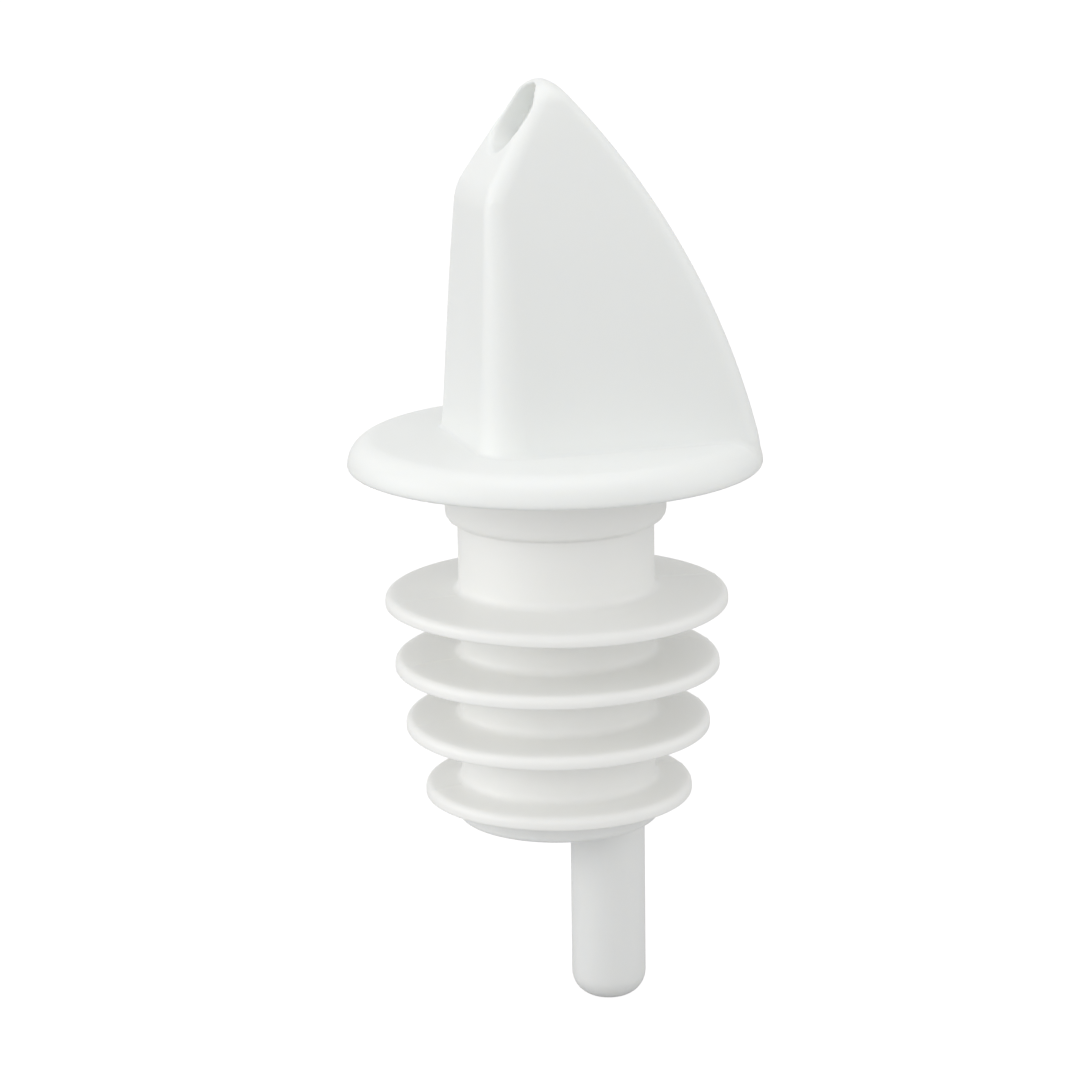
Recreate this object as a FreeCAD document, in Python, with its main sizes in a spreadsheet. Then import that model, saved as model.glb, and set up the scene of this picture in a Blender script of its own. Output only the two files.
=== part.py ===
import FreeCAD, Part
import math
import os
import Sketcher

# Liquor pour spout: a hooded pouring head on a round flange, a spigot core pressed into it,
# a breather tube carried by the core, and a soft finned stopper that the core turns in.
# Frame: +Z up the stem axis, origin where the axis meets the flange's underside, which is the
# plane of the bottle's lip. The pour slot faces -X and the hood's curved back ridge faces +X.

SHEET_NAME = "Sizes"
SIZES = {
    # flange of the head
    "flange_radius": 17.1,
    "flange_thickness": 2.4,
    "flange_edge_round": 2.2,
    "flange_skirt_flare": 0.15,
    # outside of the hood
    "hood_height": 31.1,
    "hood_front": 7.93,
    "hood_front_bend": 6.59,
    "hood_bend_height": 22.42,
    "hood_tip_front": 1.15,
    "hood_tip_back": -0.38,
    "hood_back_base": 16.32,
    "hood_back_round": 61.71,
    "hood_crown_shift": 12.0,
    "hood_half_width_base": 7.95,
    "hood_half_width_tip": 2.65,
    "hood_side_round": 94.6,
    "hood_corner_round": 2.2,
    "hood_tip_corner_round": 1.2,
    "hood_bend_round": 1.6,
    "hood_back_corner_round": 0.8,
    "hood_back_tip_round": 0.2,
    # how far the hood's side and front views run past its faces before they are combined
    "hood_clear_reach": 34.0,
    "hood_clear_width": 68.0,
    # inside of the hood
    "hood_wall": 1.3,
    "hood_tip_wall": 1.5,
    # pour slot through the sloping front
    "slot_half_width": 2.15,
    "slot_side_low": 26.9,
    "slot_side_high": 28.5,
    "slot_end_round": 2.3,
    # spigot core
    "disc_radius": 15.0,
    "disc_thickness": 1.2,
    "collar_recess_radius": 9.3,
    "collar_recess_depth": 0.25,
    "spigot_radius": 6.6,
    "spigot_bore_radius": 5.8,
    "lip_radius": 8.4,
    "lip_top": 27.85,
    "lip_bottom": 29.66,
    "lip_round": 0.45,
    "floor_thickness": 1.4,
    "port_radius": 5.2,
    "port_edge": 2.0,
    # breather tube
    "breather_offset": 4.2,
    "tail_radius": 3.1,
    "tail_bottom": 46.2,
    "tail_end_round": 2.3,
    "shank_radius": 1.55,
    "shank_top": 21.5,
    "breather_bore_radius": 0.9,
    "vent_radius": 0.6,
    "vent_depth": 3.0,
    "shank_clearance": 0.03,
    # stopper sleeve
    "stem_radius": 8.0,
    "turning_clearance": 0.05,
    "end_clearance": 0.05,
    "collar_radius": 9.0,
    "collar_bottom": 4.6,
    "collar_round": 0.9,
    "fin_rim_thickness": 1.05,
    "fin_root_thickness": 1.35,
    "fin_rim_round": 0.3,
    "fin_inner_radius": 7.3,
    "fin_a_radius": 14.0,
    "fin_a_bottom": 11.62,
    "fin_b_radius": 13.3,
    "fin_b_bottom": 16.93,
    "fin_c_radius": 12.5,
    "fin_c_bottom": 22.12,
    "fin_d_radius": 11.0,
    "fin_d_bottom": 27.7,
}
FIN_LETTERS = "abcd"
VERTICAL_AXIS = -2
HORIZONTAL_AXIS = -1
START_POINT = 1
END_POINT = 2
SAME_PLACE = 1e-4


def make_sheet(document):
    sheet = document.addObject("Spreadsheet::Sheet", SHEET_NAME)
    for row, (alias, value) in enumerate(SIZES.items(), start=1):
        sheet.set(f"A{row}", alias)
        sheet.set(f"B{row}", str(value))
        sheet.setAlias(f"B{row}", alias)
    document.recompute()
    return sheet


def sized(formula):
    """Puts the sheet's name before every alias in a formula."""
    words = formula.replace("(", "( ").replace(")", " )").split()
    return " ".join(f"{SHEET_NAME}.{word}" if word in SIZES else word for word in words)


def value_of(sheet, formula):
    result = sheet.evalExpression(sized(formula))
    return float(result.Value if hasattr(result, "Value") else result)


def origin_plane(body, role):
    return next(feature for feature in body.Origin.OriginFeatures if feature.Role == role)


def new_body(document, name):
    body = document.addObject("PartDesign::Body", name)
    body.Label = name
    return body


def hold_coordinate(sketch, kind, axis, side, formula, sheet):
    """Fixes one coordinate of a side's start point to a formula of the sheet."""
    if formula == "0":
        sketch.addConstraint(Sketcher.Constraint("PointOnObject", side, START_POINT, axis))
        return
    distance = value_of(sheet, formula)
    index = sketch.addConstraint(
        Sketcher.Constraint(kind, HORIZONTAL_AXIS, START_POINT, side, START_POINT, distance)
    )
    sketch.setExpression(f"Constraints[{index}]", sized(formula))


def outline(body, name, role, corners, sheet):
    """
    Closed outline on one of the body's own planes, given anticlockwise. Each corner is its two
    coordinates as formulas, then the radius of the outward arc to the next corner, or None for
    a straight side.
    """
    sketch = body.newObject("Sketcher::SketchObject", name)
    sketch.AttachmentSupport = [(origin_plane(body, role), "")]
    sketch.MapMode = "FlatFace"
    points = [
        FreeCAD.Vector(value_of(sheet, across), value_of(sheet, up), 0)
        for across, up, _ in corners
    ]
    count = len(corners)
    for side, (_, _, arc_radius) in enumerate(corners):
        begin = points[side]
        finish = points[(side + 1) % count]
        if arc_radius is None:
            sketch.addGeometry(Part.LineSegment(begin, finish))
            continue
        radius = value_of(sheet, arc_radius)
        chord = finish - begin
        inward = FreeCAD.Vector(-chord.y, chord.x, 0).normalize()
        rise = math.sqrt(radius**2 - (chord.Length / 2) ** 2)
        centre = (begin + finish) * 0.5 + inward * rise
        angles = [math.atan2(p.y - centre.y, p.x - centre.x) for p in (begin, finish)]
        circle = Part.Circle(centre, FreeCAD.Vector(0, 0, 1), radius)
        sketch.addGeometry(Part.ArcOfCircle(circle, *angles))
    for side, (across, up, arc_radius) in enumerate(corners):
        following = (side + 1) % count
        sketch.addConstraint(
            Sketcher.Constraint("Coincident", side, END_POINT, following, START_POINT)
        )
        hold_coordinate(sketch, "DistanceX", VERTICAL_AXIS, side, across, sheet)
        hold_coordinate(sketch, "DistanceY", HORIZONTAL_AXIS, side, up, sheet)
        if arc_radius is not None:
            radius = value_of(sheet, arc_radius)
            index = sketch.addConstraint(Sketcher.Constraint("Radius", side, radius))
            sketch.setExpression(f"Constraints[{index}]", sized(arc_radius))
    return sketch


def straight(*corners):
    return [(across, up, None) for across, up in corners]


def revolve(body, name, sketch):
    """Turns an outline of the XZ plane once round the body's Z axis."""
    feature = body.newObject("PartDesign::Revolution", name)
    feature.Profile = sketch
    feature.ReferenceAxis = (sketch, ["V_Axis"])
    feature.Angle = 360
    sketch.Visibility = False
    return feature


def pad_both_ways(body, name, sketch, length_formula):
    feature = body.newObject("PartDesign::Pad", name)
    feature.Profile = sketch
    feature.SideType = "Symmetric"
    feature.setExpression("Length", sized(length_formula))
    return feature


def hood_block(document, sheet, name, inset, back, front, width, floor, roof):
    """
    The space common to three simple forms: a crowned back turned about an upright axis ahead
    of the stem, the hood's side view padded across, and its front view padded from front to
    back. inset is how far this form stands inside the hood's outer faces.
    """
    crown = new_body(document, f"{name}_crown")
    crown_outline = outline(
        crown,
        f"{name}_crown_outline",
        "XZ_Plane",
        [
            ("0", floor, None),
            (f"{back} - {inset} + hood_crown_shift", floor, f"hood_back_round - {inset}"),
            (f"hood_tip_back - {inset} + hood_crown_shift", roof, None),
            ("0", roof, None),
        ],
        sheet,
    )
    revolve(crown, f"{name}_crown_turned", crown_outline)
    crown.setExpression("Placement.Base.x", sized("hood_crown_shift * -1"))

    side = new_body(document, f"{name}_side")
    side_outline = outline(
        side,
        f"{name}_side_outline",
        "XZ_Plane",
        straight(
            (f"( {front} ) * -1", floor),
            ("hood_clear_reach", floor),
            ("hood_clear_reach", roof),
            (f"( hood_tip_front - {inset} ) * -1", roof),
            (f"( hood_front_bend - {inset} ) * -1", "hood_bend_height"),
        ),
        sheet,
    )
    pad_both_ways(side, f"{name}_side_pad", side_outline, "hood_clear_width")

    across = new_body(document, f"{name}_across")
    across_outline = outline(
        across,
        f"{name}_across_outline",
        "YZ_Plane",
        [
            (f"( {width} ) * -1", floor, None),
            (width, floor, "hood_side_round"),
            (f"hood_half_width_tip - {inset}", roof, None),
            (f"( hood_half_width_tip - {inset} ) * -1", roof, "hood_side_round"),
        ],
        sheet,
    )
    pad_both_ways(across, f"{name}_across_pad", across_outline, "hood_clear_width")

    common = document.addObject("Part::MultiCommon", f"{name}_block")
    common.Shapes = [crown, side, across]
    return common


def round_edges(document, name, base, pick):
    """
    Rounds the edges that pick chooses. pick takes an edge's lowest and highest end and gives
    the radius at each, or None for an edge that stays sharp.
    """
    rounds = []
    for number, edge in enumerate(base.Shape.Edges, start=1):
        ends = [edge.valueAt(edge.FirstParameter), edge.valueAt(edge.LastParameter)]
        rising = ends[1].z > ends[0].z
        low, high = ends if rising else reversed(ends)
        radii = pick(low, high)
        if radii is not None:
            rounds.append((number, *(radii if rising else reversed(radii))))
    rounded = document.addObject("Part::Fillet", name)
    rounded.Base = base
    rounded.Edges = rounds
    document.recompute()
    return rounded


def pick_front_edge(low, high):
    """The upright corners, the bend, and the corners of the slope above it."""
    bend = SIZES["hood_bend_height"]
    if abs(low.z - bend) < SAME_PLACE and abs(high.z - bend) < SAME_PLACE:
        return SIZES["hood_bend_round"], SIZES["hood_bend_round"]
    at_front = low.x < -SIZES["hood_front_bend"] + SAME_PLACE
    if not at_front or high.z - low.z < SAME_PLACE:
        return None
    if high.z > bend + SAME_PLACE:
        return SIZES["hood_corner_round"], SIZES["hood_tip_corner_round"]
    return SIZES["hood_corner_round"], SIZES["hood_corner_round"]


def pick_back_edge(low, high):
    """The two long edges between the sides and the crowned back."""
    on_centre = abs(low.y) < SAME_PLACE
    if on_centre or low.x < SIZES["hood_front"] or high.z < SIZES["hood_bend_height"]:
        return None
    return SIZES["hood_back_corner_round"], SIZES["hood_back_tip_round"]


def make_pour_head(document, sheet):
    """Hood and flange in one moulding, hollow, open below and at the pour slot."""
    hood = hood_block(
        document,
        sheet,
        "hood",
        inset="0",
        back="hood_back_base",
        front="hood_front",
        width="hood_half_width_base",
        floor="0",
        roof="hood_height",
    )
    document.recompute()
    front_rounded = round_edges(document, "hood_front_rounded", hood, pick_front_edge)
    rounded = round_edges(document, "hood_rounded", front_rounded, pick_back_edge)

    flange = new_body(document, "flange")
    flange_outline = outline(
        flange,
        "flange_outline",
        "XZ_Plane",
        [
            ("0", "0", None),
            ("flange_radius", "0", None),
            (
                "flange_radius - flange_skirt_flare",
                "flange_thickness - flange_edge_round",
                "flange_edge_round",
            ),
            (
                "flange_radius - flange_skirt_flare - flange_edge_round",
                "flange_thickness",
                None,
            ),
            ("0", "flange_thickness", None),
        ],
        sheet,
    )
    revolve(flange, "flange_turned", flange_outline)

    cavity = hood_block(
        document,
        sheet,
        "cavity",
        inset="hood_wall",
        back="hood_back_base",
        front="hood_front - hood_wall",
        width="hood_half_width_base - hood_wall",
        floor="disc_thickness",
        roof="hood_height - hood_tip_wall",
    )

    counterbore = document.addObject("Part::Cylinder", "counterbore")
    counterbore.setExpression("Radius", sized("disc_radius"))
    counterbore.setExpression("Height", sized("disc_thickness"))

    slot = new_body(document, "slot")
    slot_outline = outline(
        slot,
        "slot_outline",
        "YZ_Plane",
        [
            ("slot_half_width * -1", "slot_side_low", "slot_end_round"),
            ("slot_half_width", "slot_side_low", None),
            ("slot_half_width", "slot_side_high", "slot_end_round"),
            ("slot_half_width * -1", "slot_side_high", None),
        ],
        sheet,
    )
    slot_pad = slot.newObject("PartDesign::Pad", "slot_pad")
    slot_pad.Profile = slot_outline
    slot_pad.Reversed = True
    slot_pad.setExpression("Length", sized("hood_front"))

    outside = document.addObject("Part::MultiFuse", "head_outside")
    outside.Shapes = [rounded, flange]
    hollow = document.addObject("Part::MultiFuse", "head_hollow")
    hollow.Shapes = [cavity, counterbore, slot]
    head = document.addObject("Part::Cut", "pour_head")
    head.Base = outside
    head.Tool = hollow
    head.Label = "pour_head"
    return head


def make_spigot_core(document, sheet):
    """Disc that closes the head, hollow spigot inside the sleeve, and the lip that holds it."""
    body = new_body(document, "spigot_core")
    core_outline = outline(
        body,
        "core_outline",
        "XZ_Plane",
        [
            ("0", "lip_bottom * -1", None),
            ("lip_radius - lip_round", "lip_bottom * -1", "lip_round"),
            ("lip_radius", "lip_round - lip_bottom", None),
            ("lip_radius", "lip_top * -1", None),
            ("spigot_radius", "lip_top * -1", None),
            ("spigot_radius", "collar_recess_depth", None),
            ("collar_recess_radius", "collar_recess_depth", None),
            ("collar_recess_radius", "0", None),
            ("disc_radius", "0", None),
            ("disc_radius", "disc_thickness", None),
            ("spigot_bore_radius", "disc_thickness", None),
            ("spigot_bore_radius", "floor_thickness - lip_bottom", None),
            ("0", "floor_thickness - lip_bottom", None),
        ],
        sheet,
    )
    revolve(body, "core_turned", core_outline)

    port = body.newObject("Sketcher::SketchObject", "port_outline")
    port.AttachmentSupport = [(origin_plane(body, "XY_Plane"), "")]
    port.MapMode = "FlatFace"
    reach = value_of(sheet, "port_radius")
    edge = value_of(sheet, "port_edge")
    opening = math.acos(edge / reach)
    circle = Part.Circle(FreeCAD.Vector(0, 0, 0), FreeCAD.Vector(0, 0, 1), reach)
    port.addGeometry(Part.ArcOfCircle(circle, opening, 2 * math.pi - opening))
    half = reach * math.sin(opening)
    port.addGeometry(
        Part.LineSegment(FreeCAD.Vector(edge, -half, 0), FreeCAD.Vector(edge, half, 0))
    )
    port.addConstraint(Sketcher.Constraint("Coincident", 0, 3, HORIZONTAL_AXIS, START_POINT))
    port.addConstraint(Sketcher.Constraint("Coincident", 0, END_POINT, 1, START_POINT))
    port.addConstraint(Sketcher.Constraint("Coincident", 1, END_POINT, 0, START_POINT))
    port.addConstraint(Sketcher.Constraint("Vertical", 1))
    radius_held = port.addConstraint(Sketcher.Constraint("Radius", 0, reach))
    port.setExpression(f"Constraints[{radius_held}]", sized("port_radius"))
    edge_held = port.addConstraint(
        Sketcher.Constraint("DistanceX", HORIZONTAL_AXIS, START_POINT, 1, START_POINT, edge)
    )
    port.setExpression(f"Constraints[{edge_held}]", sized("port_edge"))
    port_cut = body.newObject("PartDesign::Pocket", "port_cut")
    port_cut.Profile = port
    port_cut.setExpression("Length", sized("lip_bottom + disc_thickness"))

    shank_hole = body.newObject("Sketcher::SketchObject", "shank_hole_outline")
    shank_hole.AttachmentSupport = [(origin_plane(body, "XY_Plane"), "")]
    shank_hole.MapMode = "FlatFace"
    offset = value_of(sheet, "breather_offset")
    hole_radius = value_of(sheet, "shank_radius + shank_clearance")
    shank_hole.addGeometry(
        Part.Circle(FreeCAD.Vector(offset, 0, 0), FreeCAD.Vector(0, 0, 1), hole_radius)
    )
    shank_hole.addConstraint(Sketcher.Constraint("PointOnObject", 0, 3, HORIZONTAL_AXIS))
    place_held = shank_hole.addConstraint(
        Sketcher.Constraint("DistanceX", HORIZONTAL_AXIS, START_POINT, 0, 3, offset)
    )
    shank_hole.setExpression(f"Constraints[{place_held}]", sized("breather_offset"))
    size_held = shank_hole.addConstraint(Sketcher.Constraint("Radius", 0, hole_radius))
    shank_hole.setExpression(f"Constraints[{size_held}]", sized("shank_radius + shank_clearance"))
    shank_cut = body.newObject("PartDesign::Pocket", "shank_cut")
    shank_cut.Profile = shank_hole
    shank_cut.setExpression("Length", sized("lip_bottom + disc_thickness"))
    return body


def make_breather_tube(document, sheet):
    """Thick tail below the lip and a thin shank that carries air up into the hood."""
    body = new_body(document, "breather_tube")
    tube_outline = outline(
        body,
        "tube_outline",
        "XZ_Plane",
        [
            ("vent_radius", "tail_bottom * -1", None),
            ("tail_radius - tail_end_round", "tail_bottom * -1", "tail_end_round"),
            ("tail_radius", "tail_end_round - tail_bottom", None),
            ("tail_radius", "lip_bottom * -1", None),
            ("shank_radius", "lip_bottom * -1", None),
            ("shank_radius", "shank_top", None),
            ("breather_bore_radius", "shank_top", None),
            ("breather_bore_radius", "vent_depth - tail_bottom", None),
            ("vent_radius", "vent_depth - tail_bottom", None),
        ],
        sheet,
    )
    revolve(body, "tube_turned", tube_outline)
    body.setExpression("Placement.Base.x", sized("breather_offset"))
    return body


def make_stopper_sleeve(document, sheet):
    """Soft sleeve with a top collar and four thin sealing fins, free to turn on the spigot."""
    body = new_body(document, "stopper_sleeve")
    bore = "spigot_radius + turning_clearance"
    sleeve_outline = outline(
        body,
        "sleeve_outline",
        "XZ_Plane",
        [
            (bore, "end_clearance - lip_top", None),
            ("stem_radius", "end_clearance - lip_top", None),
            ("stem_radius", "collar_bottom * -1", None),
            ("collar_radius - collar_round", "collar_bottom * -1", "collar_round"),
            ("collar_radius", "collar_round - collar_bottom", None),
            ("collar_radius", "collar_recess_depth - end_clearance", None),
            (bore, "collar_recess_depth - end_clearance", None),
        ],
        sheet,
    )
    revolve(body, "sleeve_turned", sleeve_outline)

    for letter in FIN_LETTERS:
        rim = f"fin_{letter}_radius"
        bottom = f"fin_{letter}_bottom"
        fin_outline = outline(
            body,
            f"fin_{letter}_outline",
            "XZ_Plane",
            [
                ("fin_inner_radius", f"{bottom} * -1", None),
                (f"{rim} - fin_rim_round", f"{bottom} * -1", "fin_rim_round"),
                (rim, f"fin_rim_round - {bottom}", None),
                (rim, f"fin_rim_thickness - fin_rim_round - {bottom}", "fin_rim_round"),
                (f"{rim} - fin_rim_round", f"fin_rim_thickness - {bottom}", None),
                ("stem_radius", f"fin_root_thickness - {bottom}", None),
                ("fin_inner_radius", f"fin_root_thickness - {bottom}", None),
            ],
            sheet,
        )
        revolve(body, f"fin_{letter}_turned", fin_outline)
    return body


def check_and_export(document, parts):
    for item in document.Objects:
        faults = {"Invalid", "Error"} & set(item.State)
        if faults:
            raise RuntimeError(f"{item.Name} is {sorted(faults)}: {item.getStatusString()}")
    os.makedirs("parts", exist_ok=True)
    for part in parts:
        shape = part.Shape
        if shape.isNull() or not shape.isValid():
            raise RuntimeError(f"{part.Label} has no valid shape")
        shape.exportStep(f"parts/{part.Label}.step")
        box = shape.BoundBox
        print(
            f"{part.Label}: {len(shape.Solids)} solid, {shape.Volume:.0f} mm3, "
            f"x {box.XMin:.2f} to {box.XMax:.2f}, y {box.YMin:.2f} to {box.YMax:.2f}, "
            f"z {box.ZMin:.2f} to {box.ZMax:.2f}"
        )


document = FreeCAD.newDocument("pour_spout")
sheet = make_sheet(document)
parts = [
    make_pour_head(document, sheet),
    make_spigot_core(document, sheet),
    make_breather_tube(document, sheet),
    make_stopper_sleeve(document, sheet),
]
document.recompute()
check_and_export(document, parts)
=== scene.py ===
import math

import bpy
import numpy as np
from mathutils import Matrix, Vector


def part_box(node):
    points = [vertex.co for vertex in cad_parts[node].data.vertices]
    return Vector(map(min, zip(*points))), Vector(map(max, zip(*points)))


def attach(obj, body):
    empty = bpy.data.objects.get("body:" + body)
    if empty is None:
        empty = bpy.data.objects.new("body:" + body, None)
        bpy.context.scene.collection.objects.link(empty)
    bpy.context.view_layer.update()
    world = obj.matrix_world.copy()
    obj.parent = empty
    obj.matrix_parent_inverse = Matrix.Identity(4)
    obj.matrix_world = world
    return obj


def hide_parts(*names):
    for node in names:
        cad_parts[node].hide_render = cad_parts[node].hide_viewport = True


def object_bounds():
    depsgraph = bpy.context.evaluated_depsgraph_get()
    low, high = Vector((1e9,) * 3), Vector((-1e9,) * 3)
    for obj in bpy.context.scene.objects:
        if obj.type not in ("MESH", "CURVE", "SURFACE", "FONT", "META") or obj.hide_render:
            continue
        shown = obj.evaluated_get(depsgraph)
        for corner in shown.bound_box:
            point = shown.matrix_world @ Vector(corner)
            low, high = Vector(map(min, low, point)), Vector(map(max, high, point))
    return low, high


# Looks of a liquor pour spout: a glossy white hood and flange, a round-ended breather tube and a
# soft finned stopper. The spigot core keeps its CAD shape and gets a material. Shapes are worked
# out in millimetres in the frame's own axes, and scaled to metres when a mesh is made.

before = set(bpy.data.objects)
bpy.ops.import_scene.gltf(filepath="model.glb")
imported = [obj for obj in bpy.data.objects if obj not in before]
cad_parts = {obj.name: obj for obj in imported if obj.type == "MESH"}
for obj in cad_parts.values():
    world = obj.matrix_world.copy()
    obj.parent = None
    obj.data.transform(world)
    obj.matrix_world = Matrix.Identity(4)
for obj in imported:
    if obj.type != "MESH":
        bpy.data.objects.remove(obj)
CAD_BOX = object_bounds()
METRE = 0.001


def cad_box(node):
    """A CAD node's lowest and highest corners in millimetres."""
    low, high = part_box(node)
    return low / METRE, high / METRE


HOOD_HEIGHT = cad_box("pour_head")[1].z
CORE_LOW, CORE_HIGH = cad_box("spigot_core")
TUBE_LOW, TUBE_HIGH = cad_box("breather_tube")
SLEEVE_LOW, SLEEVE_HIGH = cad_box("stopper_sleeve")

# Grid that the head's surface is found on, and the steps for its slopes and normals
GRID_STEP = 0.25
GRID_MARGIN = 1.5
SETTLING_ROUNDS = 3
SLOPE_REACH = 0.01
NORMAL_REACH = 0.02
LEAST_SLOPE = 0.2
MOST_MOVE = 0.5

# Flange of the head
FLANGE_RADIUS = 16.78
FLANGE_TOP = 2.4
FLANGE_EDGE_ROUND = 2.2
FLANGE_LOWER_ROUND = 0.3
FLANGE_FLARE = 0.06
FLARE_HEIGHT = 0.35
FLANGE_FILLET = 0.3

# Hood outside: two front planes, two curved sides and a crowned back. Points and centres of
# the front and the back are in X and Z, and those of the sides in Y and Z. The back is turned
# round an upright line that stands CROWN_SHIFT in front of the stem axis.
FRONT_BASE = (-8.05, 0.0)
FRONT_BEND = (-6.82, 22.42)
FRONT_TIP = (-1.35, 31.1)
BEND_ROUND = 0.6
SIDE_CENTRE = (-86.65, -0.12)
SIDE_RADIUS = 94.6
CROWN_SHIFT = 12.0
BACK_CENTRE = (-44.04, -12.39)
BACK_RADIUS = 61.71
CORNER_ROUND_LOW = 3.2
CORNER_ROUND_HIGH = 1.0
BACK_ROUND_LOW = 1.3
BACK_ROUND_HIGH = 0.7
SIDE_FLARE = 0.45
SIDE_FLARE_HEIGHT = 2.3
TIP_HEIGHT = 31.05
TIP_RADIUS = 5.0
TIP_ROUND = 0.6
HOOD_FOOT = 0.7
HOOD_FOOT_ROUND = 0.4

# Hood inside and pour slot. The slot is a recess with a throat at its lower end.
HOOD_WALL = 1.3
HOLLOW_TOP = 27.2
HOLLOW_TOP_ROUND = 0.5
HOLLOW_FOOT_ROUND = 0.05
HOLLOW_EDGE_ROUND = 0.3
SLOPE_WALL = 2.8
SLOT_CENTRE_HEIGHT = 28.0
SLOT_HALF_HEIGHT = 2.6
SLOT_HALF_WIDTH = 2.8
SLOT_BACK_WALL = 0.8
SLOT_DEPTH = 1.9
THROAT_TOP = 26.8
THROAT_DEPTH = 4.4
SLOT_LIP_ROUND = 0.35

# Spigot core, where the other pieces meet it
CORE_DISC_RADIUS = CORE_HIGH.y
CORE_DISC_TOP = CORE_HIGH.z
CORE_BOTTOM = CORE_LOW.z

# Breather tube
TUBE_RADIUS = TUBE_HIGH.y
TUBE_OFFSET = (TUBE_LOW.x + TUBE_HIGH.x) / 2
TUBE_BOTTOM = TUBE_LOW.z
TUBE_TOP = TUBE_HIGH.z
TUBE_END_ROUND = 2.05
SHANK_RADIUS = 1.55
TUBE_BORE = 0.9
VENT_RADIUS = 0.6
VENT_DEPTH = 3.0

# Stopper sleeve: each fin is its rim radius and the height of its lower face
SLEEVE_BORE = 6.65
STEM_RADIUS = 8.0
COLLAR_RADIUS = 9.0
COLLAR_BOTTOM = -4.6
FINS = ((14.0, -11.62), (13.3, -16.93), (12.5, -22.12), (11.0, -27.7))
FIN_RIM = 1.05
FIN_ROOT = 1.35
FIN_LOWER_ROUND = 0.15
FIN_UPPER_ROUND = 0.6
FIN_FILLET = 0.6
END_FILLET_SHARE = 0.6

# Waves of the soft fins, two and three to a turn. They grow outwards over FIN_REACH, and their
# slant is in radians per millimetre of height.
FIN_REACH = 5.5
DOUBLE_WAVE = 0.07
DOUBLE_SLANT = 0.45
TRIPLE_WAVE = 0.04
TRIPLE_SLANT = 0.3

# Parting ridge on both sides of the sleeve. On a fin it goes from the stem's side onto the flat
# faces over RIDGE_TURN, and extra columns of points stand beside it, in degrees.
PARTING_RIDGE = 0.05
PARTING_HALF_WIDTH = 0.13
RIDGE_TURN = 0.3
RIDGE_COLUMNS = (0.4, 0.8, 1.3, 2.0)
BORE_BAND = 0.2
FINS_BELOW = COLLAR_BOTTOM - 2

# Columns of points round the turned pieces
TUBE_COLUMNS = 96
SLEEVE_COLUMNS = 180

# Camera. Its place is given in its own directions, right, ahead and up, from the frame's origin,
# and its lens is for a square frame on a sensor of the given side.
VIEW_AZIMUTH = math.radians(-17.0)
VIEW_DOWN = math.radians(14.17)
VIEW_ROLL = math.radians(-0.8)
CAMERA_PLACE = (-1.3, -264.8, 60.4)
SENSOR = 36.0
LENS = 111.9

# Moulded plastic: its clouding and the ripple of its surface, per metre
CLOUD_SCALE = 160.0
CLOUD_DEPTH = 0.985
GLOSS_SPREAD = 0.15
RIPPLE_SCALE = 900.0
RIPPLE_HEIGHT = 0.02
MIX_COLOURS = (6, 7)
MIX_RESULT = 2

# Floor, in metres. The floor and the world look white, and give less light than they show.
FLOOR_GAP = 0.0004
FLOOR_SIDE = 12.0
FLOOR_BASE_SEEN = 0.12
FLOOR_BASE_LIT = 0.5
FLOOR_GLOW_SEEN = 0.97
FLOOR_GLOW_LIT = 0.065
WORLD_SEEN = 1.0
WORLD_LIT = 0.665


# ---------------------------------------------------------------- distances of solid forms


def share(a, b, radius):
    """Distance to what two forms have in common, with the edge between them rounded."""
    inside = np.minimum(np.maximum(a, b), -radius)
    return inside + np.hypot(np.maximum(a + radius, 0), np.maximum(b + radius, 0))


def join(a, b, radius):
    """Distance to two forms together, with a fillet between them."""
    outside = np.maximum(np.minimum(a, b), radius)
    return outside - np.hypot(np.maximum(radius - a, 0), np.maximum(radius - b, 0))


def above_line(x, z, begin, finish):
    """Distance to the half plane on the right of a line from begin to finish, in X and Z."""
    run = finish[0] - begin[0]
    rise = finish[1] - begin[1]
    length = math.hypot(run, rise)
    return (run * (z - begin[1]) - rise * (x - begin[0])) / length


def fade(z, low, high):
    """Goes smoothly from low at the hood's base to high at its tip."""
    part = np.clip(z / HOOD_HEIGHT, 0, 1)
    return low + (high - low) * part * part * (3 - 2 * part)


def hood(x, y, z, inset):
    """Distance to the hood, or to a smaller one inside it that keeps inset off each face."""
    lower_front = above_line(x, z, FRONT_BASE, FRONT_BEND) + inset
    upper_front = above_line(x, z, FRONT_BEND, FRONT_TIP) + inset
    front = share(lower_front, upper_front, BEND_ROUND)
    flare = SIDE_FLARE * np.exp(-np.maximum(z - FLANGE_TOP, 0) / SIDE_FLARE_HEIGHT)
    side = np.hypot(np.abs(y) - SIDE_CENTRE[0], z - SIDE_CENTRE[1]) - SIDE_RADIUS - flare + inset
    out = np.hypot(x + CROWN_SHIFT, y) - CROWN_SHIFT
    back = np.hypot(out - BACK_CENTRE[0], z - BACK_CENTRE[1]) - BACK_RADIUS + inset
    walls = share(front, side, fade(z, CORNER_ROUND_LOW, CORNER_ROUND_HIGH))
    walls = share(walls, back, fade(z, BACK_ROUND_LOW, BACK_ROUND_HIGH))
    tip = z - TIP_HEIGHT + y * y / (2 * TIP_RADIUS) + inset
    return share(walls, tip, TIP_ROUND)


def flange(x, y, z):
    """Domed rim that flares a little at the mould's parting plane."""
    flare = FLANGE_FLARE * np.exp(-np.maximum(z, 0) / FLARE_HEIGHT)
    out = np.hypot(x, y) - FLANGE_RADIUS - flare
    rim = share(out, z - FLANGE_TOP, FLANGE_EDGE_ROUND)
    return share(rim, -z, FLANGE_LOWER_ROUND)


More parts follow.
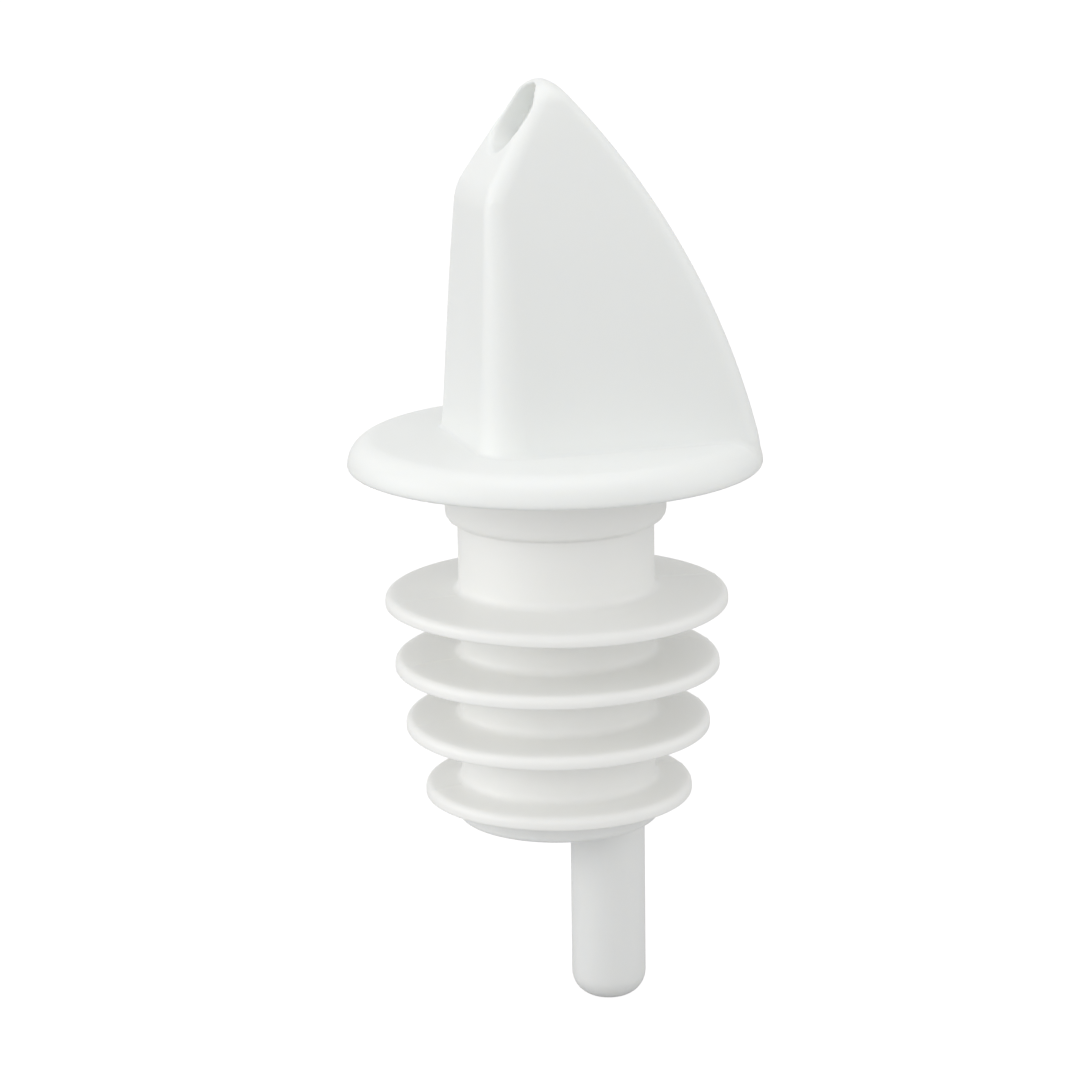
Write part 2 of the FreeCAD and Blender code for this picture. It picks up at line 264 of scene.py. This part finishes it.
def slot(x, y, z):
    """
    An oval recess in the sloping front, along X. At its lower end a throat goes on into the
    hollow.
    """
    across = y / SLOT_HALF_WIDTH
    along = (z - SLOT_CENTRE_HEIGHT) / SLOT_HALF_HEIGHT
    oval = (np.hypot(across, along) - 1) * SLOT_HALF_WIDTH
    depth = -above_line(x, z, FRONT_BEND, FRONT_TIP)
    throat = np.maximum(z - THROAT_TOP, depth - THROAT_DEPTH)
    back = np.hypot(x - BACK_CENTRE[0], z - BACK_CENTRE[1]) - BACK_RADIUS + SLOT_BACK_WALL
    return np.maximum(np.maximum(oval, back), np.minimum(depth - SLOT_DEPTH, throat))


def head_distance(x, y, z):
    """Hood and flange, hollow inside, with the slot and the seat of the core's disc."""
    upright = share(hood(x, y, z, 0.0), np.hypot(x, y) - FLANGE_RADIUS, HOOD_FOOT_ROUND)
    upright = np.maximum(upright, HOOD_FOOT - z)
    solid = join(upright, flange(x, y, z), FLANGE_FILLET)
    solid = np.maximum(solid, -z)
    behind_slope = above_line(x, z, FRONT_BEND, FRONT_TIP) + SLOPE_WALL
    hollow = np.maximum(hood(x, y, z, HOOD_WALL), behind_slope)
    hollow = share(hollow, CORE_DISC_TOP - z, HOLLOW_FOOT_ROUND)
    hollow = share(hollow, z - HOLLOW_TOP, HOLLOW_TOP_ROUND)
    seat = np.maximum(np.hypot(x, y) - CORE_DISC_RADIUS, z - CORE_DISC_TOP)
    solid = share(solid, -slot(x, y, z), SLOT_LIP_ROUND)
    solid = share(solid, -hollow, HOLLOW_EDGE_ROUND)
    return np.maximum(solid, -seat)


# ---------------------------------------------------------------- meshes


def gradient(distance, points, reach):
    slopes = []
    for axis in range(3):
        shift = np.zeros(3)
        shift[axis] = reach
        ahead = distance(*(points + shift).T)
        behind = distance(*(points - shift).T)
        slopes.append((ahead - behind) / (2 * reach))
    return np.stack(slopes, axis=1)


def neighbours(values, axis, others):
    """The values at both ends of each grid line along axis, with others kept of the other axes."""
    near = [others] * 3
    far = [others] * 3
    near[axis] = slice(0, -1)
    far[axis] = slice(1, None)
    return values[tuple(near)], values[tuple(far)]


def cell_places(field):
    """Cells that the surface crosses, and the mean of the crossings on each cell's edges."""
    cells = tuple(n - 1 for n in field.shape)
    total = np.zeros(cells + (3,))
    count = np.zeros(cells)
    for axis in range(3):
        first_axis, second_axis = [a for a in range(3) if a != axis]
        start, end = neighbours(field, axis, slice(None))
        crossed = (start < 0) != (end < 0)
        part = np.where(crossed, start / np.where(crossed, start - end, 1.0), 0.0)
        for first in (0, 1):
            for second in (0, 1):
                pick = [slice(None)] * 3
                pick[first_axis] = slice(first, first + cells[first_axis])
                pick[second_axis] = slice(second, second + cells[second_axis])
                hit = crossed[tuple(pick)]
                count += hit
                total[..., axis] += np.where(hit, part[tuple(pick)], 0)
                total[..., first_axis] += np.where(hit, first, 0)
                total[..., second_axis] += np.where(hit, second, 0)
    used = count > 0
    return used, np.argwhere(used) + total[used] / count[used][:, None]


def cell_faces(inside, number):
    """One quad for each grid line that crosses the surface, facing out. number counts the cells."""
    faces = []
    for axis in range(3):
        u, v = (axis + 1) % 3, (axis + 2) % 3
        start, end = neighbours(inside, axis, slice(1, -1))
        for flip, crossing in ((False, start & ~end), (True, end & ~start)):
            place = np.argwhere(crossing)
            place[:, u] += 1
            place[:, v] += 1
            ring = []
            for du, dv in ((-1, -1), (0, -1), (0, 0), (-1, 0)):
                cell = place.copy()
                cell[:, u] += du
                cell[:, v] += dv
                ring.append(number[tuple(cell.T)])
            ring = np.stack(ring, axis=1)
            faces.append(ring[:, ::-1] if flip else ring)
    return np.concatenate(faces)


def skin(distance, low, high, step):
    """Points, quads and normals over the surface where distance is 0, found on a grid."""
    starts = [side - GRID_MARGIN * step for side in low]
    ends = [side + (GRID_MARGIN + 1) * step for side in high]
    axes = [np.arange(start, end, step) for start, end in zip(starts, ends)]
    field = distance(*np.meshgrid(*axes, indexing="ij", sparse=True))
    field = np.broadcast_to(field, [len(a) for a in axes])
    used, places = cell_places(field)
    number = np.full(used.shape, -1)
    number[used] = np.arange(used.sum())
    points = places * step + np.array([a[0] for a in axes])
    faces = cell_faces(field < 0, number)
    for _ in range(SETTLING_ROUNDS):
        slope = gradient(distance, points, SLOPE_REACH)
        size = np.maximum((slope**2).sum(axis=1), LEAST_SLOPE)
        move = slope * (distance(*points.T) / size)[:, None]
        points = points - np.clip(move, -MOST_MOVE * step, MOST_MOVE * step)
    normals = gradient(distance, points, NORMAL_REACH)
    normals /= np.maximum(np.linalg.norm(normals, axis=1), 1e-9)[:, None]
    return points, faces, normals


def make_object(name, points, faces, normals=None):
    mesh = bpy.data.meshes.new(name)
    mesh.from_pydata((points * METRE).tolist(), [], faces.tolist())
    mesh.validate()
    mesh.update()
    mesh.shade_smooth()
    if normals is not None:
        mesh.normals_split_custom_set_from_vertices(normals.tolist())
    piece = bpy.data.objects.new(name, mesh)
    bpy.context.scene.collection.objects.link(piece)
    return piece


def rounded_loop(corners, spacing=0.5, arc_points=5):
    """
    Closed outline in radius and height. Each corner is radius, height and its rounding. Long
    straight stretches get points in between.
    """
    places = np.array([corner[:2] for corner in corners], float)
    loop = []
    for index, (_, _, rounding) in enumerate(corners):
        here = places[index]
        before = places[index - 1] - here
        after = places[(index + 1) % len(corners)] - here
        before /= np.linalg.norm(before)
        after /= np.linalg.norm(after)
        half = math.acos(np.clip(before @ after, -1, 1)) / 2
        if rounding <= 0 or half > math.radians(89):
            loop.append(here)
            continue
        middle = before + after
        centre = here + middle / np.linalg.norm(middle) * rounding / math.sin(half)
        first = here + before * rounding / math.tan(half) - centre
        last = here + after * rounding / math.tan(half) - centre
        turn = math.atan2(first[0] * last[1] - first[1] * last[0], first @ last)
        for part in np.linspace(0, 1, arc_points):
            c, s = math.cos(turn * part), math.sin(turn * part)
            swung = (first[0] * c - first[1] * s, first[0] * s + first[1] * c)
            loop.append(centre + np.array(swung))
    filled = []
    for here, ahead in zip(loop, loop[1:] + loop[:1]):
        pieces = max(1, math.ceil(np.linalg.norm(ahead - here) / spacing))
        for part in range(pieces):
            filled.append(here + (ahead - here) * part / pieces)
    return np.array(filled)


def turned(name, loop, angles, shape=None, centre=(0.0, 0.0)):
    """Turns a closed outline round the Z axis through centre. shape may move the points."""
    count = len(loop)
    turn = np.asarray(angles)[:, None]
    radius = np.broadcast_to(loop[:, 0], (len(angles), count))
    height = np.broadcast_to(loop[:, 1], (len(angles), count))
    if shape is not None:
        radius, height = shape(radius, height, turn)
    x = centre[0] + radius * np.cos(turn)
    y = centre[1] + radius * np.sin(turn)
    points = np.stack([x, y, height], axis=-1).reshape(-1, 3)
    column = np.arange(len(angles))[:, None] * count
    ahead = (np.arange(len(angles))[:, None] + 1) % len(angles) * count
    row = np.arange(count)[None, :]
    following = (row + 1) % count
    faces = np.stack([column + row, ahead + row, ahead + following, column + following], axis=-1)
    return make_object(name, points, faces.reshape(-1, 4))


def even_angles(count):
    return np.arange(count) * 2 * math.pi / count


# ---------------------------------------------------------------- pieces


def make_head():
    low = (-FLANGE_RADIUS, -FLANGE_RADIUS, 0.0)
    high = (FLANGE_RADIUS, FLANGE_RADIUS, HOOD_HEIGHT)
    step = GRID_STEP
    return make_object("head_moulding", *skin(head_distance, low, high, step))


def make_tube():
    corners = [
        (VENT_RADIUS, TUBE_BOTTOM, 0.15),
        (TUBE_RADIUS, TUBE_BOTTOM, TUBE_END_ROUND),
        (TUBE_RADIUS, CORE_BOTTOM, 0.1),
        (SHANK_RADIUS, CORE_BOTTOM, 0.1),
        (SHANK_RADIUS, TUBE_TOP, 0.15),
        (TUBE_BORE, TUBE_TOP, 0.15),
        (TUBE_BORE, TUBE_BOTTOM + VENT_DEPTH, 0.1),
        (VENT_RADIUS, TUBE_BOTTOM + VENT_DEPTH, 0.1),
    ]
    loop = rounded_loop(corners, arc_points=12)
    return turned("tube_moulding", loop, even_angles(TUBE_COLUMNS), centre=(TUBE_OFFSET, 0.0))


def sleeve_shape(radius, height, turn):
    """Soft fins are a little wavy, and a fine parting ridge runs down both sides."""
    reach = np.clip((radius - STEM_RADIUS) / FIN_REACH, 0, 1)
    on_fin = (height < FINS_BELOW).astype(float)
    double = DOUBLE_WAVE * np.sin(2 * turn + height * DOUBLE_SLANT)
    triple = TRIPLE_WAVE * np.sin(3 * turn - height * TRIPLE_SLANT)
    height = height + on_fin * reach**2 * (double + triple)
    off_line = radius * np.sin(turn)
    ridge = PARTING_RIDGE * np.exp(-((off_line / PARTING_HALF_WIDTH) ** 2))
    outside = radius > SLEEVE_BORE + BORE_BAND
    flat = on_fin * np.clip((radius - STEM_RADIUS - RIDGE_TURN) / RIDGE_TURN, 0, 1)
    radius = radius + np.where(outside, ridge, 0) * (1 - flat)
    height = height + ridge * flat
    return radius, height


def make_sleeve():
    bottom = SLEEVE_LOW.z
    top = SLEEVE_HIGH.z
    corners = [(SLEEVE_BORE, bottom, 0.15), (STEM_RADIUS, bottom, 0.15)]
    for rim, underside in reversed(FINS):
        at_root = min(FIN_FILLET, (underside - bottom) * END_FILLET_SHARE)
        corners += [
            (STEM_RADIUS, underside, at_root),
            (rim, underside, FIN_LOWER_ROUND),
            (rim, underside + FIN_RIM, FIN_UPPER_ROUND),
            (STEM_RADIUS, underside + FIN_ROOT, FIN_FILLET),
        ]
    corners += [
        (STEM_RADIUS, COLLAR_BOTTOM, 0.25),
        (COLLAR_RADIUS, COLLAR_BOTTOM, 0.9),
        (COLLAR_RADIUS, top, 0.2),
        (SLEEVE_BORE, top, 0.2),
    ]
    beside = np.array(RIDGE_COLUMNS)
    near_line = np.radians(np.concatenate([-beside[::-1], beside]))
    angles = np.concatenate([even_angles(SLEEVE_COLUMNS), near_line, near_line + math.pi])
    angles = np.unique(np.round(angles % (2 * math.pi), 6))
    return turned("sleeve_moulding", rounded_loop(corners), angles, sleeve_shape)


# ---------------------------------------------------------------- materials


def plastic(name, colour, rough, soft, soft_reach, grain):
    """Moulded plastic: faint clouding, uneven gloss and the fine ripple of a mould face."""
    material = bpy.data.materials.new(name)
    material.use_nodes = True
    nodes = material.node_tree.nodes
    links = material.node_tree.links
    shader = nodes["Principled BSDF"]
    shader.inputs["IOR"].default_value = 1.49
    shader.inputs["Subsurface Weight"].default_value = soft
    shader.inputs["Subsurface Radius"].default_value = (1.0, 0.95, 0.85)
    shader.inputs["Subsurface Scale"].default_value = soft_reach * METRE
    place = nodes.new("ShaderNodeTexCoord")

    cloud = nodes.new("ShaderNodeTexNoise")
    cloud.inputs["Scale"].default_value = CLOUD_SCALE
    cloud.inputs["Detail"].default_value = 4.0
    links.new(place.outputs["Object"], cloud.inputs["Vector"])
    tint = nodes.new("ShaderNodeMix")
    tint.data_type = "RGBA"
    dark, light = (tint.inputs[index] for index in MIX_COLOURS)
    dark.default_value = (*[c * CLOUD_DEPTH for c in colour], 1)
    light.default_value = (*colour, 1)
    links.new(cloud.outputs["Fac"], tint.inputs[0])
    links.new(tint.outputs[MIX_RESULT], shader.inputs["Base Color"])

    gloss = nodes.new("ShaderNodeMapRange")
    gloss.inputs["To Min"].default_value = rough * (1 - GLOSS_SPREAD)
    gloss.inputs["To Max"].default_value = rough * (1 + GLOSS_SPREAD)
    links.new(cloud.outputs["Fac"], gloss.inputs["Value"])
    links.new(gloss.outputs["Result"], shader.inputs["Roughness"])

    ripple = nodes.new("ShaderNodeTexNoise")
    ripple.inputs["Scale"].default_value = RIPPLE_SCALE
    ripple.inputs["Detail"].default_value = 3.0
    links.new(place.outputs["Object"], ripple.inputs["Vector"])
    bump = nodes.new("ShaderNodeBump")
    bump.inputs["Strength"].default_value = grain
    bump.inputs["Distance"].default_value = RIPPLE_HEIGHT * METRE
    links.new(ripple.outputs["Fac"], bump.inputs["Height"])
    links.new(bump.outputs["Normal"], shader.inputs["Normal"])
    return material


# ---------------------------------------------------------------- stage, lights and camera


def seen_or_lit(tree, seen, lit):
    """A value that is seen where the camera looks straight at it, and lit for all other light."""
    path = tree.nodes.new("ShaderNodeLightPath")
    choice = tree.nodes.new("ShaderNodeMapRange")
    choice.inputs["To Min"].default_value = lit
    choice.inputs["To Max"].default_value = seen
    tree.links.new(path.outputs["Is Camera Ray"], choice.inputs["Value"])
    return choice.outputs["Result"]


def make_floor():
    level = CAD_BOX[0].z - FLOOR_GAP
    half = FLOOR_SIDE / 2
    square = [(-half, -half), (half, -half), (half, half), (-half, half)]
    mesh = bpy.data.meshes.new("floor")
    mesh.from_pydata([(x, y, level) for x, y in square], [], [(0, 1, 2, 3)])
    floor = bpy.data.objects.new("floor", mesh)
    bpy.context.scene.collection.objects.link(floor)
    material = bpy.data.materials.new("white_floor")
    material.use_nodes = True
    tree = material.node_tree
    shader = tree.nodes["Principled BSDF"]
    shader.inputs["Roughness"].default_value = 1.0
    shader.inputs["Specular IOR Level"].default_value = 0.0
    shader.inputs["Emission Color"].default_value = (1.0, 0.99, 0.995, 1)
    shade = tree.nodes.new("ShaderNodeCombineColor")
    for channel in shade.inputs[:3]:
        tree.links.new(seen_or_lit(tree, FLOOR_BASE_SEEN, FLOOR_BASE_LIT), channel)
    tree.links.new(shade.outputs[0], shader.inputs["Base Color"])
    glow = seen_or_lit(tree, FLOOR_GLOW_SEEN, FLOOR_GLOW_LIT)
    tree.links.new(glow, shader.inputs["Emission Strength"])
    mesh.materials.append(material)


def make_world():
    world = bpy.data.worlds.new("studio")
    world.use_nodes = True
    bpy.context.scene.world = world
    tree = world.node_tree
    background = tree.nodes["Background"]
    background.inputs["Color"].default_value = (1, 1, 1, 1)
    tree.links.new(seen_or_lit(tree, WORLD_SEEN, WORLD_LIT), background.inputs["Strength"])


def make_light(name, turn, rise, distance, side, power):
    """
    A soft square lamp that faces the object. turn is degrees from the camera's side of the
    object towards the picture's left, rise is degrees above the floor, distance and side are
    in metres and power is in watts.
    """
    around = VIEW_AZIMUTH - math.radians(90 + turn)
    up = math.radians(rise)
    flat = distance * math.cos(up)
    place = Vector((flat * math.cos(around), flat * math.sin(around), distance * math.sin(up)))
    lamp = bpy.data.lights.new(name, "AREA")
    lamp.shape = "SQUARE"
    lamp.size = side
    lamp.energy = power
    holder = bpy.data.objects.new(name, lamp)
    holder.location = place
    aim = place - (CAD_BOX[0] + CAD_BOX[1]) / 2
    holder.rotation_mode = "QUATERNION"
    holder.rotation_quaternion = aim.to_track_quat("Z", "Y")
    bpy.context.scene.collection.objects.link(holder)


def make_camera():
    turn = Matrix.Rotation(VIEW_AZIMUTH, 3, "Z")
    ahead = Vector((0, math.cos(VIEW_DOWN), -math.sin(VIEW_DOWN)))
    right = Vector((1, 0, 0))
    up = right.cross(ahead)
    roll = Matrix.Rotation(VIEW_ROLL, 3, -ahead)
    axes = Matrix([roll @ right, roll @ up, -ahead]).transposed()
    camera = bpy.data.cameras.new("camera")
    camera.sensor_width = SENSOR
    camera.lens = LENS
    camera.clip_start = 0.01
    camera.clip_end = 50.0
    holder = bpy.data.objects.new("camera", camera)
    place = Matrix.Translation(turn @ Vector(CAMERA_PLACE) * METRE)
    holder.matrix_world = place @ (turn @ axes).to_4x4()
    bpy.context.scene.collection.objects.link(holder)
    bpy.context.scene.camera = holder


make_camera()
make_world()
make_floor()
make_light("left", 90, 8, 1.0, 0.8, 1.6)
make_light("front_left", 72, 8, 1.3, 1.5, 6.5)
make_light("front", 0, 5, 1.3, 1.5, 4.8)
make_light("right", -88, 16, 1.3, 1.2, 3.1)
make_light("overhead", 0, 89, 1.1, 0.9, 2.6)
bpy.context.scene.view_settings.view_transform = "Standard"

head_white = plastic("head_white", (0.86, 0.875, 0.86), 0.42, 0.4, 0.8, 0.10)
core_white = plastic("core_white", (0.87, 0.88, 0.87), 0.33, 0.35, 0.6, 0.15)
tube_white = plastic("tube_white", (0.86, 0.87, 0.86), 0.30, 0.35, 0.8, 0.12)
stopper_white = plastic("stopper_white", (0.922, 0.924, 0.902), 0.40, 0.25, 0.8, 0.25)

for piece, body, node, slot_name, material in (
    (make_head(), "spout", "pour_head", "head_plastic", head_white),
    (make_tube(), "spout", "breather_tube", "tube_plastic", tube_white),
    (make_sleeve(), "stopper", "stopper_sleeve", "stopper_plastic", stopper_white),
):
    piece.data.materials.append(material)
    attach(piece, body)
    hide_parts(node)

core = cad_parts["spigot_core"]
core.data.materials.clear()
core.data.materials.append(core_white)
